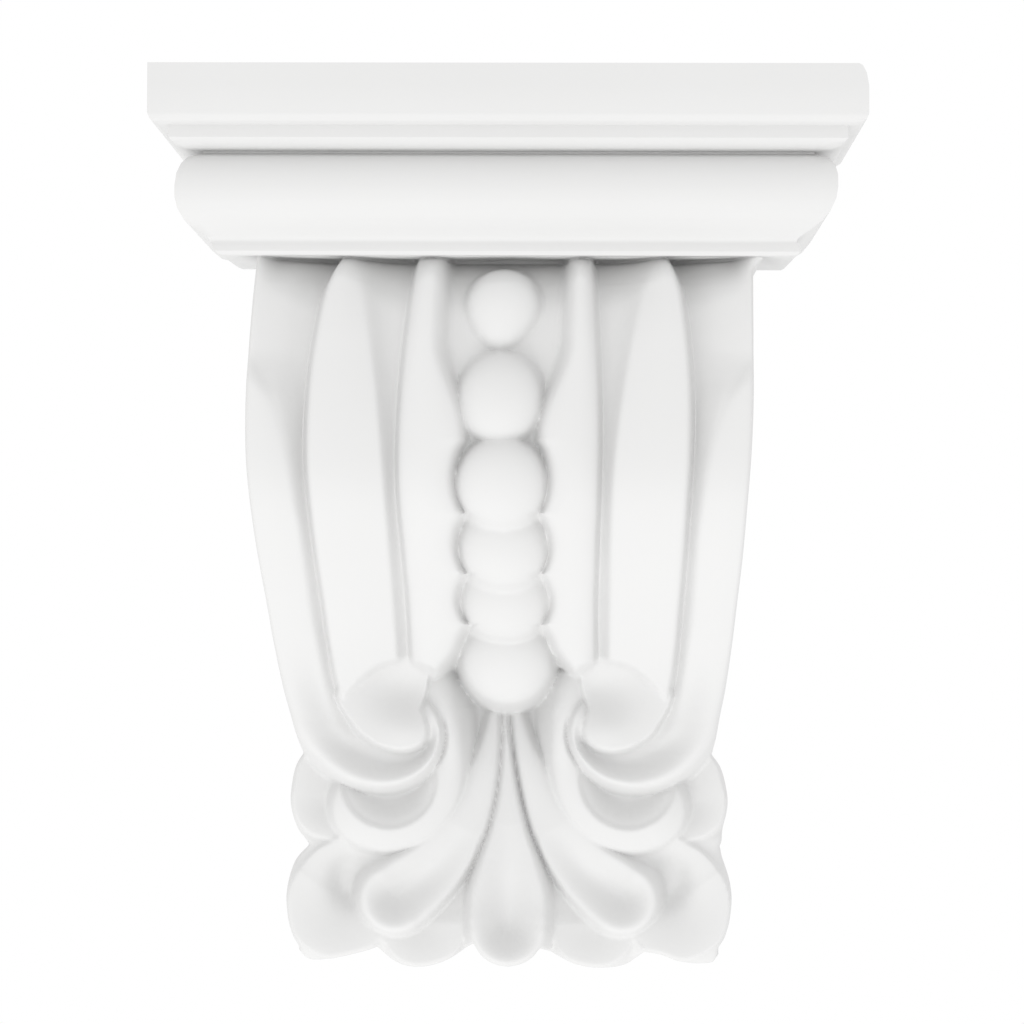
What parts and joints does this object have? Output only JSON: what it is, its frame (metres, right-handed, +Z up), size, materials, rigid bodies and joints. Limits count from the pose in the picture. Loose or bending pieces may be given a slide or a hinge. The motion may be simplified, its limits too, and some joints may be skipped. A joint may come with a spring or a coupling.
{
  "type": "corbel",
  "caption": "Carved wall corbel: a mitred cornice shelf over a fluted console with beads, twin volutes and an acanthus spray.",
  "frame": {"origin": "centre of the flat back, at half the overall height, on the line that the cornice is symmetrical about", "axes": "+Z up, +Y out of the back into the wall, the carved front faces -Y, +X to the right hand of someone facing it"},
  "size_m": [0.16, 0.075, 0.205],
  "materials": {
    "white_paint": "satin"
  },
  "bodies": {
    "root": {"corbel": "white_paint"}
  },
  "joints": []
}
